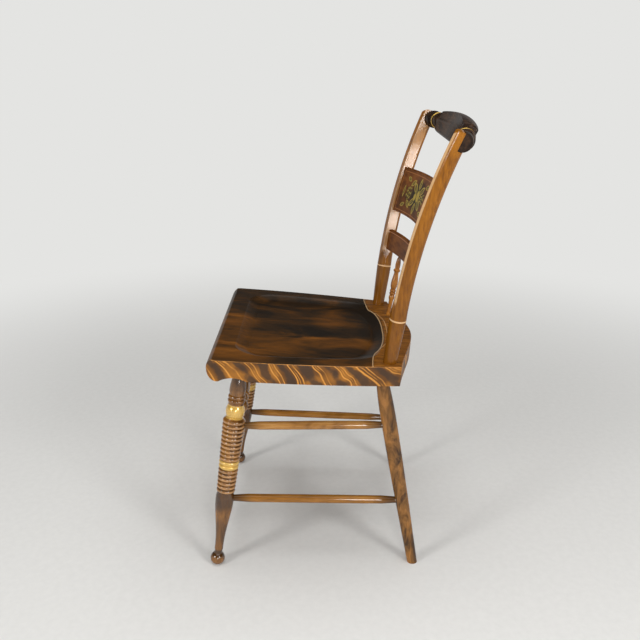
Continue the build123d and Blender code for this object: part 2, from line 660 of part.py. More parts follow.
def crest_lap_cutter(grow):
    """What the left post fills around the lap, with the glue line added."""
    frame = crest_frame()
    size = 5 * CREST_END_RADIUS
    front = frame * Pos(-CREST_LAP_FLAT + grow, 0, 0) * Box(
        size, size, size, align=(Align.MAX, Align.CENTER, Align.CENTER)
    )
    below = frame * Pos(-size / 4, -CREST_LAP_DROP + grow, 0) * Box(
        size, size / 2, size, align=(Align.MIN, Align.MAX, Align.CENTER)
    )
    inside = Pos(CREST_ON_POST[0], CREST_ON_POST[1], -POST_INNER_FLAT - grow) * Box(
        2 * size, 2 * size, size, align=(Align.CENTER, Align.CENTER, Align.MAX)
    )
    beyond = Pos(CREST_ON_POST[0], CREST_ON_POST[1], CREST_END_REACH) * Box(
        2 * size, 2 * size, size, align=(Align.CENTER, Align.CENTER, Align.MIN)
    )
    return POST_PLANE * ((front + below - inside) + beyond)


def crest_blank():
    length = CREST_END.X + 1.5 * CREST_END_REACH
    inner_end = CREST_OUTER_BEAD[0] + CREST_OUTER_BEAD[1] / 3
    rail = crest_roll(CREST_NECK_RADIUS, length - 1)
    rail += crest_roll(CREST_END_RADIUS, length) - crest_roll(3 * CREST_END_RADIUS, inner_end)
    for x, *sizes in (CREST_OUTER_BEAD, CREST_GILT_BEAD, CREST_INNER_BEAD):
        rail += crest_bead(x, *sizes)
        rail += crest_bead(-x, *sizes)
    rail += pillow()
    lap = crest_lap_cutter(GLUE_LINE)
    return rail - lap - mirror(lap, Plane.YZ)


# ---- slats ----
MIDDLE_SLAT_BOTTOM = POST_BASE_Z + MIDDLE_SLAT_ABOVE_SEAT
LOWER_SLAT_BOTTOM = POST_BASE_Z + LOWER_SLAT_ABOVE_SEAT
MIDDLE_SLAT = (MIDDLE_SLAT_BOTTOM, MIDDLE_SLAT_WIDTH, MIDDLE_SLAT_TILT, MIDDLE_SLAT_FORWARD)
LOWER_SLAT = (LOWER_SLAT_BOTTOM, LOWER_SLAT_WIDTH, LOWER_SLAT_TILT, LOWER_SLAT_FORWARD)


def slat_bow_centre_y(bottom, width, tilt_degrees, forward):
    """Y of the bow's centre at mid height; the slat's middle line meets the post's inner flat
    this far in front of the post's centre line."""
    post = post_centre(bottom + width / 2)
    end_x = post.X - POST_INNER_FLAT
    return post.Y - forward - math.sqrt(SLAT_BOW_RADIUS**2 - end_x**2)


def slat_sector(bottom, width, tilt_degrees, forward, grow=0.0):
    """Board bent about an upright axis and leaning back, before its ends are cut."""
    tilt = math.radians(tilt_degrees)
    centre_y = slat_bow_centre_y(bottom, width, tilt_degrees, forward)
    shift = (width / 2 + grow) * math.tan(tilt)
    half = (SLAT_THICKNESS / 2 + grow) / math.cos(tilt)
    ring = Circle(SLAT_BOW_RADIUS + half) - Circle(SLAT_BOW_RADIUS - half)
    reach = post_centre(bottom + width).X
    window = Pos(0, SLAT_BOW_RADIUS) * Rectangle(2.2 * reach, 1.3 * reach)
    face = Pos(0, centre_y - shift, bottom - grow) * (ring & window)
    length = (width + 2 * grow) / math.cos(tilt)
    return extrude(face, length, dir=(0, math.sin(tilt), math.cos(tilt)))


def slat_end_cutter(grow=0.0):
    place = -POST_INNER_FLAT + SLAT_TENON_LENGTH + grow
    size = 3 * CREST_HEIGHT_ON_POST
    block = Box(size, size, size / 8, align=(Align.CENTER, Align.CENTER, Align.MIN))
    return POST_PLANE * Pos(0, 0, place) * block


def slat(bottom, width, tilt_degrees, forward, grow=0.0):
    board = slat_sector(bottom, width, tilt_degrees, forward, grow)
    if grow == 0.0:
        long_edges = board.edges().filter_by(GeomType.CIRCLE)
        board = fillet(long_edges, SLAT_EDGE_RADIUS)
    cutter = slat_end_cutter(grow)
    return board - cutter - mirror(cutter, Plane.YZ)


def slat_bottom_y(x, bottom, width, tilt_degrees, forward):
    """Place of the slat's middle line at its bottom edge."""
    shift = width / 2 * math.tan(math.radians(tilt_degrees))
    centre_y = slat_bow_centre_y(bottom, width, tilt_degrees, forward)
    return centre_y - shift + math.sqrt(SLAT_BOW_RADIUS**2 - x**2)


# ---- spindles ----
def spindle_line(place):
    """Foot and top of a spindle; place counts from the middle: -1.5, -0.5, 0.5 or 1.5."""
    foot_x = place * SPINDLE_FOOT_SPACING
    top_x = place * SPINDLE_TOP_SPACING
    rear_y = SEAT_SIDE_REAR_Y + SPINDLE_FOOT_BEHIND_CORNERS
    foot_y = rear_y - SPINDLE_FOOT_BOW * (place / 1.5) ** 2
    top_y = slat_bottom_y(top_x, *LOWER_SLAT)
    return (foot_x, foot_y, seat_top_z(foot_y)), (top_x, top_y, LOWER_SLAT_BOTTOM)


def spindle_outline(length):
    """Foot, bead, two rings, vase, disc and the taper into the slat."""
    foot = SPINDLE_FOOT_RADIUS
    neck = SPINDLE_NECK_RADIUS
    top = SPINDLE_TOP_RADIUS
    edges = Line((foot, -SPINDLE_TENON_LENGTH), (foot, 1))
    edges += Spline((foot, 1), (0.93 * foot, SPINDLE_FOOT_LENGTH / 2), (neck, SPINDLE_FOOT_LENGTH))
    low = SPINDLE_FOOT_LENGTH
    bead = (SPINDLE_BEAD_RADIUS, SPINDLE_BEAD_WIDTH)
    ring = (SPINDLE_RING_RADIUS, SPINDLE_RING_WIDTH)
    for radius, width in (bead, ring, ring):
        edges += ThreePointArc((neck, low), (radius, low + width / 2), (neck, low + width))
        low += width
    vase = SPINDLE_VASE_RADIUS
    disc_low = low + SPINDLE_VASE_LENGTH
    disc_high = disc_low + SPINDLE_DISC_WIDTH
    edges += Spline(
        (neck, low),
        (vase, low + 0.26 * SPINDLE_VASE_LENGTH),
        (0.88 * vase, low + 0.62 * SPINDLE_VASE_LENGTH),
        (neck, disc_low),
    )
    disc = (SPINDLE_DISC_RADIUS, (disc_low + disc_high) / 2)
    edges += ThreePointArc((neck, disc_low), disc, (neck, disc_high))
    tenon = SPINDLE_TOP_TENON_RADIUS
    taper_end = length - SPINDLE_TOP_LENGTH
    edges += Spline((neck, disc_high), (1.1 * neck, disc_high + 0.8 * neck), (top, taper_end))
    edges += Polyline(
        (top, taper_end),
        (tenon, length - SPINDLE_TOP_LENGTH / 3),
        (tenon, length + SPINDLE_TOP_TENON_LENGTH),
    )
    return edges


def spindle(place):
    foot, top = spindle_line(place)
    length = (Vector(*top) - Vector(*foot)).length
    return turned(closed_profile(spindle_outline(length)), foot, top)


# ---- assembly ----
def front_point(height):
    return on_axis(FRONT_FOOT, FRONT_SOCKET, height)


def rear_point(height):
    return on_axis(REAR_FOOT, REAR_SOCKET, height)


SIDE_LOWER = (front_point(SIDE_LOWER_FRONT_HEIGHT), rear_point(SIDE_LOWER_REAR_HEIGHT))
SIDE_UPPER = (front_point(SIDE_UPPER_FRONT_HEIGHT), rear_point(SIDE_UPPER_REAR_HEIGHT))
FRONT_UPPER = (front_point(FRONT_UPPER_HEIGHT), mirrored(front_point(FRONT_UPPER_HEIGHT)))
FRONT_LOWER = (front_point(FRONT_LOWER_HEIGHT), mirrored(front_point(FRONT_LOWER_HEIGHT)))
REAR_CROSS = (rear_point(REAR_HEIGHT), mirrored(rear_point(REAR_HEIGHT)))
SPINDLE_PLACES = {
    "right_outer_spindle": -1.5,
    "right_inner_spindle": -0.5,
    "left_inner_spindle": 0.5,
    "left_outer_spindle": 1.5,
}


def seat_plank():
    seat = seat_blank()
    holes = []
    front = rod(FRONT_TENON_RADIUS + GLUE_LINE, FRONT_FOOT, FRONT_SOCKET, 0, LEG_TENON_LENGTH + GLUE_LINE)
    rear = rod(REAR_TENON_RADIUS + GLUE_LINE, REAR_FOOT, REAR_SOCKET, 0, LEG_TENON_LENGTH + GLUE_LINE)
    post_top = (BEND_START[0], BEND_START[1], 0)
    post = POST_PLANE * rod(POST_FOOT_RADIUS + GLUE_LINE, (0, 0, 0), post_top, POST_TENON_LENGTH + GLUE_LINE)
    for hole in (front, rear, post):
        holes += [hole, mirror(hole, Plane.YZ)]
    for place in SPINDLE_PLACES.values():
        foot, top = spindle_line(place)
        holes.append(rod(SPINDLE_FOOT_RADIUS + GLUE_LINE, foot, top, SPINDLE_TENON_LENGTH + GLUE_LINE))
    for hole in holes:
        seat -= hole
    return seat


def left_front_leg():
    leg = above_floor(front_leg_blank())
    leg -= socket(*SIDE_LOWER)
    leg -= socket(*SIDE_UPPER)
    leg -= socket(*FRONT_UPPER)
    return leg - socket(*FRONT_LOWER)


def left_rear_leg():
    leg = above_floor(rear_leg_blank())
    leg -= socket(SIDE_LOWER[1], SIDE_LOWER[0])
    leg -= socket(SIDE_UPPER[1], SIDE_UPPER[0])
    return leg - socket(*REAR_CROSS)


def left_post():
    post = POST_PLANE * post_blank()
    post -= slat(*MIDDLE_SLAT, GLUE_LINE)
    post -= slat(*LOWER_SLAT, GLUE_LINE)
    return post - post_dowel(GLUE_LINE)


def crest_rail():
    hole = post_dowel(GLUE_LINE)
    return crest_blank() - hole - mirror(hole, Plane.YZ)


def lower_slat():
    board = slat(*LOWER_SLAT)
    for place in SPINDLE_PLACES.values():
        foot, top = spindle_line(place)
        along = direction(foot, top)
        bottom = tuple(Vector(*top) + along * (SPINDLE_TOP_TENON_LENGTH + GLUE_LINE))
        board -= rod(SPINDLE_TOP_TENON_RADIUS + GLUE_LINE, top, bottom, SPINDLE_TOP_RADIUS)
    return board


def build_parts():
    parts = {"seat_plank": seat_plank()}
    pairs = {
        "front_leg": left_front_leg(),
        "rear_leg": left_rear_leg(),
        "post": left_post(),
        "lower_side_stretcher": plain_stretcher(*SIDE_LOWER, CALF_RADIUS, REAR_CALF_RADIUS),
        "upper_side_stretcher": plain_stretcher(*SIDE_UPPER, RING_TOP_RADIUS, REAR_THIGH_RADIUS),
    }
    for name, shape in pairs.items():
        parts["left_" + name] = shape
        parts["right_" + name] = mirror(shape, Plane.YZ)
    parts["front_upper_stretcher"] = fancy_stretcher(*FRONT_UPPER, RING_TOP_RADIUS)
    parts["front_lower_stretcher"] = plain_stretcher(*FRONT_LOWER, CALF_RADIUS, CALF_RADIUS)
    parts["rear_stretcher"] = plain_stretcher(*REAR_CROSS, REAR_THIGH_RADIUS, REAR_THIGH_RADIUS)
    parts["crest_rail"] = crest_rail()
    parts["middle_slat"] = slat(*MIDDLE_SLAT)
    parts["lower_slat"] = lower_slat()
    for name, place in SPINDLE_PLACES.items():
        parts[name] = spindle(place)
    dowel = post_dowel()
    parts["crest_dowels"] = Compound([dowel, mirror(dowel, Plane.YZ)])
    return parts


def centred(parts):
    """Moves every piece so that the origin is the bottom centre of the whole chair's box."""
    boxes = [shape.bounding_box() for shape in parts.values()]
    front_y = min(box.min.Y for box in boxes)
    rear_y = max(box.max.Y for box in boxes)
    middle_y = (front_y + rear_y) / 2
    return {name: Pos(0, -middle_y, 0) * shape for name, shape in parts.items()}


os.makedirs("parts", exist_ok=True)
for name, shape in centred(build_parts()).items():
    export_step(shape, f"parts/{name}.step")
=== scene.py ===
import math

import bpy
from mathutils import Matrix, Vector


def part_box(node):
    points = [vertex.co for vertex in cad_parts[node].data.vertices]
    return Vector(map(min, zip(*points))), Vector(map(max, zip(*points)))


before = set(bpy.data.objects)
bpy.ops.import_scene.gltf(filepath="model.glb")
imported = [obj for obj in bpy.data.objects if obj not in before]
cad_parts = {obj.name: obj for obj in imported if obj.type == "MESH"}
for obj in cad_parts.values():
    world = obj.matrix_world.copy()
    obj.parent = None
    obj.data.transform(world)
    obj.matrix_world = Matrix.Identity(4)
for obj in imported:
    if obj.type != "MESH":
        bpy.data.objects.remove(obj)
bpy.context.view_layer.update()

# Places are measured in metres from the seat's front edge, as a chairmaker would, and turned
# into the frame's own Y with this value. X is to the sitter's left and Z is above the floor.
# A band of paint is given as (its middle, half its width, the distance over which it fades).
SEAT_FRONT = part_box("seat_plank")[0].y

# ---- camera ----
CAMERA_BACK = 0.2220
CAMERA_SIDE = 1.543
CAMERA_HEIGHT = 0.982
CAMERA_YAW = math.radians(0.57)
CAMERA_PITCH = math.radians(19.08)
CAMERA_ROLL = math.radians(0.17)
CAMERA_LENS = 44.26
SENSOR_WIDTH = 36.0

# ---- seat ----
# Each point is (distance from the middle of the chair, distance behind the seat's front edge).
DECK_LINE = (
    (0.0, 0.3361),
    (0.045, 0.3350),
    (0.087, 0.3297),
    (0.120, 0.3205),
    (0.140, 0.3120),
    (0.240, 0.3060),
)
LIP_LINE = (
    (0.0, 0.3452),
    (0.058, 0.3430),
    (0.090, 0.3345),
    (0.116, 0.3215),
    (0.140, 0.3118),
    (0.240, 0.3060),
)
# Both lines stay between these two distances behind the front edge.
LINES_BETWEEN = (0.30, 0.36)
DECK_PAINT_RUNOUT = 0.004
DECK_GUTTER = (0.0, 0.0005, 0.0009)
LIP_GUTTER = (0.0, 0.0004, 0.0009)
SEAT_RELIEF = 0.0004
# Soft ovals in the top's paint: middle across, middle behind the front edge, half width, half depth.
RUBBED_OVALS = (
    (-0.012, 0.030, 0.050, 0.050),
    (0.135, 0.065, 0.070, 0.095),
    (0.190, 0.050, 0.060, 0.080),
    (-0.055, 0.225, 0.060, 0.036),
    (0.080, 0.210, 0.028, 0.130),
)
DARK_OVALS = (
    (0.012, 0.210, 0.034, 0.170),
    (0.150, 0.270, 0.045, 0.075),
    (-0.010, 0.330, 0.130, 0.040),
    (-0.120, 0.320, 0.060, 0.060),
    (-0.180, 0.150, 0.060, 0.200),
)
VEIN_SPACING = 0.031
VEIN_SLANT = math.radians(52)
# The three veins of a group, as bands in shares of the spacing.
FIRST_VEIN = (0.34, 0.014, 0.042)
SECOND_VEIN = (0.62, 0.010, 0.036)
THIRD_VEIN = (0.47, 0.006, 0.030)

# ---- posts ----
POST_FOOT_SIDE = 0.180
POST_FOOT_BACK = 0.3385
POST_FOOT_HEIGHT = 0.4276
POST_FLARE = math.radians(6.1)
POST_LEAN = math.radians(7.5)
POST_RING = 0.090
POST_RING_BAND = (POST_RING, 0.0011, 0.0007)
POST_FOOT_SHADE = (0.02, 0.14)
POST_LONG_SHADE = (0.10, 0.42)
POST_LINES_FROM = 0.118
POST_LINES_RUNOUT = 0.012
POST_INNER_LINE = (-0.0106, 0.0009, 0.0004)
POST_OUTER_LINE = (0.0085, 0.0021, 0.0005)
POST_INNER_FACE = -0.0115

# ---- crest ----
CREST_RING = (0.1705, 0.0036, 0.0008)

# ---- front legs ----
LEG_FOOT_SIDE = 0.206
LEG_FOOT_BACK = 0.0025
LEG_TOP_SIDE = 0.1715
LEG_TOP_BACK = 0.0585
LEG_TOP_HEIGHT = 0.4119
LEG_BALL = (0.3170, 0.3432)
LEG_GILT_RINGS = (0.2113, 0.2284)
LEG_RINGS_FROM = 0.160
LEG_VASE_FROM = 0.366
LEG_CALF_SHADE = (LEG_RINGS_FROM - 0.012, 0.012, 0.022)
LEG_ANKLE_SHADE = (0.070, 0.012, 0.030)
LEG_FOOT_SHADE = (0.026, 0.004, 0.006)
RING_PITCH = 0.00855

# ---- rear legs and stretchers ----
REAR_LEG_SHADE = (0.26, 0.42)
STRETCHER_SHADE_FROM = 0.035
STRETCHER_SHADE_TO = 0.01
STRETCHER_SHADE_WANDER = 0.06

# ---- slats ----
SLAT_LOW, SLAT_HIGH = (corner.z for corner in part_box("middle_slat"))
LOWER_SLAT_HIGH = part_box("lower_slat")[1].z
BORDER_INSET = 0.0065
BORDER_HALF = 0.0005
BORDER_SOFT = 0.0004
LOWER_LINE = (LOWER_SLAT_HIGH - 0.0042, 0.0005, 0.0005)
# Stencil cut for one half of the slat, in millimetres from its middle: across, up, turn in
# degrees, half length and half width of each leaf, fruit or cluster of berries, and of the dark
# smoke behind the wreath. The wreath's middle is given as across and up. Each of its leaves is
# given as turn about that middle, reach from it, half length and half width.
MM_PER_METRE = 1000.0
WREATH = (96, 0)
WREATH_LEAVES = ((35, 25, 17, 7.5), (90, 25, 13, 7.5), (145, 25, 17, 7.5), (180, 27, 13, 6.5))
LEAVES = (
    (27, 0, 0, 13, 5.5),
    (20, 22, 50, 13, 5.5),
    (20, -22, -50, 13, 5.5),
    (44, 27, -8, 13, 5.5),
    (44, -27, 8, 13, 5.5),
    (136, 22, -34, 13, 5.5),
    (136, -22, 34, 13, 5.5),
    (160, 27, 20, 10, 4.5),
    (160, -27, -20, 10, 4.5),
    (171, 0, 90, 14, 4.0),
)
FRUITS = ((92, 1, 78, 15, 10.5), (109, -3, 100, 11, 8))
CLUSTERS = ((146, 0, 0, 15, 14), (56, 0, 0, 9, 12))
SMOKE = (96, 0, 0, 48, 36)
FLOWER_REACH = 0.019

# ---- surroundings ----
FLOOR_SIZE = 60.0
FLOOR_FADE = (0.55, 2.3)
EVEN_LIGHT = (0.90, 0.90, 0.89, 1.0)
EVEN_STRENGTH = 0.25
HORIZON_FADE = (0.08, 0.22)
CHAIR_MIDDLE = (0.0, 0.0, 0.45)
# Each softbox is given as name, place, what it points at, width and height, and watts.
SOFTBOXES = (
    ("overhead_softbox", (0.2, 0.1, 2.8), CHAIR_MIDDLE, (3.0, 3.0), 42.0),
    ("front_softbox", (2.0, -2.25, 1.5), CHAIR_MIDDLE, (0.7, 0.9), 34.0),
    ("rear_softbox", (2.2, 1.75, 1.5), CHAIR_MIDDLE, (0.7, 0.9), 34.0),
    ("side_softbox", (2.8, 0.42, 0.90), (-0.2, 0.16, 0.75), (0.32, 0.8), 21.0),
)


def paint(red, green, blue):
    """A paint chip's 0 to 255 colour as the linear colour that a shader wants."""

    def linear(value):
        share = value / 255
        return share / 12.92 if share <= 0.04045 else ((share + 0.055) / 1.055) ** 2.4

    return (linear(red), linear(green), linear(blue), 1.0)


BLACK_BROWN = paint(32, 24, 16)
DARK_BROWN = paint(52, 35, 17)
RED_BROWN = paint(80, 49, 16)
CHESTNUT = paint(110, 66, 20)
HONEY = paint(146, 94, 34)
# Lightest tone of the seat's deck: painted reflection of the room in its gloss.
DECK_REFLECTION_BROWN = paint(164, 112, 52)
UNDERSIDE_BROWN = paint(80, 52, 32)
VEIN_GROUND = paint(96, 60, 26)
VEIN_POOL = paint(62, 46, 34)
# The veins' colour, also laid on the seat's side arrises as a painted highlight.
VEIN_AND_EDGE_HIGHLIGHT = paint(202, 138, 60)
GILT = paint(240, 196, 96)
LEG_GILT = paint(226, 182, 92)
BORDER_GILT = paint(176, 112, 62)
LOWER_LINE_GILT = paint(200, 132, 84)
CREAM_LINE = paint(232, 190, 140)
OLIVE = paint(78, 74, 32)
LEAF_SHADE = paint(30, 30, 20)
BRONZE = paint(176, 148, 64)
POST_SHADE = paint(84, 50, 18)
# Painted reflection of a bright light in the posts' inner flats.
INNER_FLAT_REFLECTION = paint(226, 178, 128)
FRONT_LEG_SHADE = paint(50, 32, 18)
# Painted highlight for the front legs' ring crests.
RING_CREST_HIGHLIGHT = paint(180, 132, 80)
PLAIN_SHADE = paint(52, 34, 20)
BACKDROP = paint(228, 228, 226)
ROOM_SHADE = paint(50, 50, 50)
FLOOR_SPECKLE = (paint(222, 221, 218), paint(226, 225, 222))
# The dark, middle and light paint of each graining.
POST_BROWNS = (paint(116, 68, 10), paint(144, 88, 16), paint(164, 104, 24))
CREST_BLACKS = (paint(28, 21, 17), paint(44, 32, 25), paint(74, 52, 36))
SLAT_BROWNS = (paint(70, 38, 12), paint(98, 54, 18), paint(124, 72, 26))
FRONT_LEG_BROWNS = (paint(66, 40, 16), paint(112, 72, 28), paint(142, 94, 38))
REAR_LEG_BROWNS = (paint(62, 42, 24), paint(124, 84, 40), paint(164, 112, 56))
UPPER_STRETCHER_BROWNS = (paint(112, 74, 34), paint(158, 110, 54), paint(184, 136, 76))
LOWER_STRETCHER_BROWNS = (paint(96, 62, 22), paint(134, 88, 32), paint(160, 110, 48))
SPINDLE_BROWNS = (paint(96, 56, 22), paint(152, 94, 34), paint(188, 126, 54))
DOWEL_WOODS = (paint(150, 118, 80), paint(184, 150, 106), paint(206, 176, 130))


class Finish:
    """Builds the nodes of one painted finish."""

    def __init__(self, name):
        self.material = bpy.data.materials.new(name)
        self.material.use_nodes = True
        self.tree = self.material.node_tree
        self.surface = self.tree.nodes["Principled BSDF"]
        self.place = self.add("ShaderNodeTexCoord").outputs["Object"]
        self.facing = self.add("ShaderNodeNewGeometry").outputs["Normal"]

    def add(self, kind, settings=(), **inputs):
        node = self.tree.nodes.new(kind)
        for key, value in dict(settings).items():
            setattr(node, key, value)
        for key, value in inputs.items():
            self.feed(node.inputs[key.replace("_", " ")], value)
        return node

    def feed(self, socket, value):
        if isinstance(value, bpy.types.NodeSocket):
            self.tree.links.new(value, socket)
        else:
            socket.default_value = value

    def calc(self, operation, *values):
        node = self.add("ShaderNodeMath", {"operation": operation})
        for socket, value in zip(node.inputs, values):
            self.feed(socket, value)
        return node.outputs["Value"]

    def both(self, first, second):
        return self.calc("MULTIPLY", first, second)

    def most(self, *values):
        result = values[0]
        for value in values[1:]:
            result = self.calc("MAXIMUM", result, value)
        return result

    def least(self, *values):
        result = values[0]
        for value in values[1:]:
            result = self.calc("MINIMUM", result, value)
        return result

    def parts(self, vector):
        node = self.add("ShaderNodeSeparateXYZ", Vector=vector)
        return node.outputs["X"], node.outputs["Y"], node.outputs["Z"]

    def along(self, origin, direction):
        """Distance from origin along a direction, counted alike on both sides of the chair."""
        x, y, z = self.parts(self.place)
        x = self.calc("ABSOLUTE", x)
        total = self.both(self.calc("SUBTRACT", x, origin[0]), direction[0])
        for value, start, share in ((y, origin[1], direction[1]), (z, origin[2], direction[2])):
            total = self.calc("MULTIPLY_ADD", self.calc("SUBTRACT", value, start), share, total)
        return total

    def step(self, value, low, high, start=0.0, end=1.0):
        """Goes smoothly from start to end as the value goes from low to high."""
        node = self.add(
            "ShaderNodeMapRange",
            {"interpolation_type": "SMOOTHSTEP"},
            Value=value,
            From_Min=low,
            From_Max=high,
            To_Min=start,
            To_Max=end,
        )
        return node.outputs["Result"]

    def band(self, value, middle, half, soft):
        """1 within half of the middle, fading to 0 over the soft distance."""
        off = self.calc("ABSOLUTE", self.calc("SUBTRACT", value, middle))
        return self.step(off, half, half + soft, 1.0, 0.0)

    def oval(self, across, back, shape):
        """1 in the middle of a soft oval on the seat, fading to 0 past its edge."""
        side, behind, half_width, half_depth = shape
        out = self.both(self.calc("SUBTRACT", across, side), 1 / half_width)
        away = self.both(self.calc("SUBTRACT", back, behind), 1 / half_depth)
        squared = self.calc("MULTIPLY_ADD", out, out, self.both(away, away))
        return self.step(squared, 0.1, 1.6, 1.0, 0.0)

    def stretched(self, scale, move=(0.0, 0.0, 0.0)):
        node = self.add("ShaderNodeMapping", Vector=self.place, Location=move, Scale=scale)
        return node.outputs["Vector"]

    def noise(self, place, scale, detail=4.0, roughness=0.55, distortion=0.0):
        node = self.add(
            "ShaderNodeTexNoise",
            Vector=place,
            Scale=scale,
            Detail=detail,
            Roughness=roughness,
            Distortion=distortion,
        )
        return node.outputs["Fac"]

    def ramp(self, value, *stops):
        """A colour ramp of (position, colour) stops."""
        node = self.add("ShaderNodeValToRGB", Fac=value)
        band = node.color_ramp
        while len(band.elements) < len(stops):
            band.elements.new(0.5)
        for element, (position, colour) in zip(band.elements, stops):
            element.position = position
            element.color = colour
        return node.outputs["Color"]

    def mix(self, share, first, second):
        node = self.add("ShaderNodeMix", {"data_type": "RGBA"})
        self.feed(node.inputs["Factor"], share)
        self.feed(node.inputs[6], first)
        self.feed(node.inputs[7], second)
        return node.outputs[2]

    def blend(self, share, first, second):
        """A plain number between first and second."""
        return self.add("ShaderNodeMix", Factor=share, A=first, B=second).outputs[0]

    def curve(self, value, points, low, high):
        """A smooth curve through (value, result) points; results lie between low and high."""
        node = self.add("ShaderNodeFloatCurve")
        reach = points[-1][0]
        self.feed(node.inputs["Value"], self.calc("DIVIDE", value, reach))
        line = node.mapping.curves[0]
        while len(line.points) < len(points):
            line.points.new(0.5, 0.5)
        for point, (place, result) in zip(line.points, points):
            point.location = (place / reach, (result - low) / (high - low))
        node.mapping.update()
        return self.calc("MULTIPLY_ADD", node.outputs["Value"], high - low, low)

    def turned_to(self, across, up, shape):
        """Place within a stencil shape, as shares of its half length and half width."""
        side, height, turn, half_length, half_width = shape
        cosine, sine = math.cos(math.radians(turn)), math.sin(math.radians(turn))
        out = self.calc("MULTIPLY_ADD", across, MM_PER_METRE, -side)
        rise = self.calc("MULTIPLY_ADD", up, MM_PER_METRE, -height)
        length = self.both(out, cosine / half_length)
        length = self.calc("MULTIPLY_ADD", rise, sine / half_length, length)
        width = self.both(out, -sine / half_width)
        width = self.calc("MULTIPLY_ADD", rise, cosine / half_width, width)
        return length, width

    def front_face(self):
        """1 on the faces that look to the chair's front."""
        _, ny, _ = self.parts(self.facing)
        return self.step(ny, -0.75, -0.55, 1.0, 0.0)

    def satin(self, streaks, low, high):
        """Roughness that goes from low to high with the streaks."""
        return self.step(streaks, 0.3, 0.8, low, high)

    def dress(
        self, colour, roughness, height=None, depth=0.0001, metal=0.0, coat=0.3, polish=0.1, gloss=1.5
    ):
        """Feeds the surface: colour, roughness, relief and the varnish, which alone is glossy."""
        self.feed(self.surface.inputs["Base Color"], colour)
        self.feed(self.surface.inputs["Roughness"], roughness)
        self.feed(self.surface.inputs["Metallic"], metal)
        self.surface.inputs["Specular IOR Level"].default_value = 0.0
        self.surface.inputs["Coat Weight"].default_value = coat
        self.surface.inputs["Coat Roughness"].default_value = polish
        self.surface.inputs["Coat IOR"].default_value = gloss
        if height is not None:
            bump = self.add("ShaderNodeBump", Height=height, Distance=depth, Strength=0.7)
            self.feed(self.surface.inputs["Normal"], bump.outputs["Normal"])
        return self.material

    def gild(self, colour, roughness, gilded, gilt=GILT):
        """Lays gilt over the paint where the mask is 1, with wear through it here and there."""
        wear = self.noise(self.place, 420.0, 3.0, 0.7)
        mask = self.both(gilded, self.step(wear, 0.28, 0.42, 0.6, 1.0))
        shade = tuple(0.72 * value for value in gilt[:3]) + (1.0,)
        mottled = self.mix(self.noise(self.place, 160.0), gilt, shade)
        return self.mix(mask, colour, mottled), self.blend(mask, roughness, 0.3), mask


def grain_paint(finish, browns, run, fine, broad, mottle=0.62):
    """Painted graining: broad clouds with fine streaks along one axis."""
    dark, middle, light = browns
    squeeze = {"X": (0.08, 1.0, 1.0), "Y": (1.0, 0.08, 1.0), "Z": (1.0, 1.0, 0.08)}[run]
    cloud_squeeze = tuple(0.4 if value < 1 else 1.0 for value in squeeze)
    streaks = finish.noise(finish.stretched(squeeze), fine, 6.0, 0.6, 0.4)
    clouds = finish.noise(finish.stretched(cloud_squeeze), broad, 4.0, 0.6, 0.8)
    blend = finish.calc("MULTIPLY_ADD", streaks, 1.0 - mottle, finish.both(clouds, mottle))
    colour = finish.ramp(blend, (0.37, dark), (0.49, middle), (0.62, light))
    return colour, streaks, clouds


# ---- seat ----
def seat_top_paint(finish, across, back):
    """Dark paint combed from front to back, redder where rubbing shows in some ovals and left black in
    others.
    """
    streaks = finish.noise(finish.stretched((1.0, 0.12, 1.0)), 190.0, 7.0, 0.7, 0.6)
    clouds = finish.noise(finish.stretched((1.0, 0.35, 1.0), (0.37, 0.11, 0.0)), 15.0, 5.0, 0.6, 1.2)
    blend = finish.calc("MULTIPLY_ADD", clouds, 0.66, -0.012)
    blend = finish.calc("MULTIPLY_ADD", streaks, 0.34, blend)
    wander = finish.calc("MULTIPLY_ADD", clouds, 0.10, -0.05)
    wandered = finish.calc("ADD", across, wander)
    for shape in RUBBED_OVALS:
        blend = finish.calc("MULTIPLY_ADD", finish.oval(wandered, back, shape), 0.10, blend)
    for shape in DARK_OVALS:
        blend = finish.calc("MULTIPLY_ADD", finish.oval(wandered, back, shape), -0.10, blend)
    paint_film = finish.ramp(
        blend,
        (0.36, BLACK_BROWN),
        (0.46, DARK_BROWN),
        (0.56, RED_BROWN),
        (0.68, CHESTNUT),
        (0.80, HONEY),
    )
    return paint_film, streaks


def seat_edge_paint(finish):
    """Groups of thin bright veins slanting down and back, with dark pools between the groups."""
    x, y, z = finish.parts(finish.place)
    slow = finish.noise(finish.place, 11.0, 1.0, 0.4)
    quick = finish.noise(finish.place, 28.0, 1.0, 0.4)
    broken = finish.noise(finish.place, 26.0, 3.0, 0.6)
    place = finish.calc("ADD", y, finish.both(x, 0.5))
    place = finish.both(place, math.sin(VEIN_SLANT) / VEIN_SPACING)
    place = finish.calc("MULTIPLY_ADD", z, math.cos(VEIN_SLANT) / VEIN_SPACING, place)
    place = finish.calc("MULTIPLY_ADD", slow, 2.0, place)
    place = finish.calc("MULTIPLY_ADD", quick, 0.5, place)
    share = finish.calc("FRACT", place)
    pool = finish.calc("COSINE", finish.both(place, math.tau))
    pool = finish.step(finish.calc("MULTIPLY_ADD", broken, 4.0, pool), 2.0, 2.9)
    ground = finish.mix(finish.step(quick, 0.40, 0.62), VEIN_GROUND, HONEY)
    colour = finish.mix(finish.both(pool, 0.85), ground, VEIN_POOL)
    first = finish.band(share, *FIRST_VEIN)
    second = finish.both(finish.band(share, *SECOND_VEIN), finish.step(broken, 0.38, 0.56, 0.3, 1.0))
    third = finish.both(finish.band(share, *THIRD_VEIN), finish.step(broken, 0.44, 0.60, 0.0, 0.7))
    veins = finish.most(first, second, third)
    veins = finish.both(veins, finish.step(slow, 0.30, 0.52, 0.6, 1.0))
    return finish.mix(veins, colour, VEIN_AND_EDGE_HIGHLIGHT)


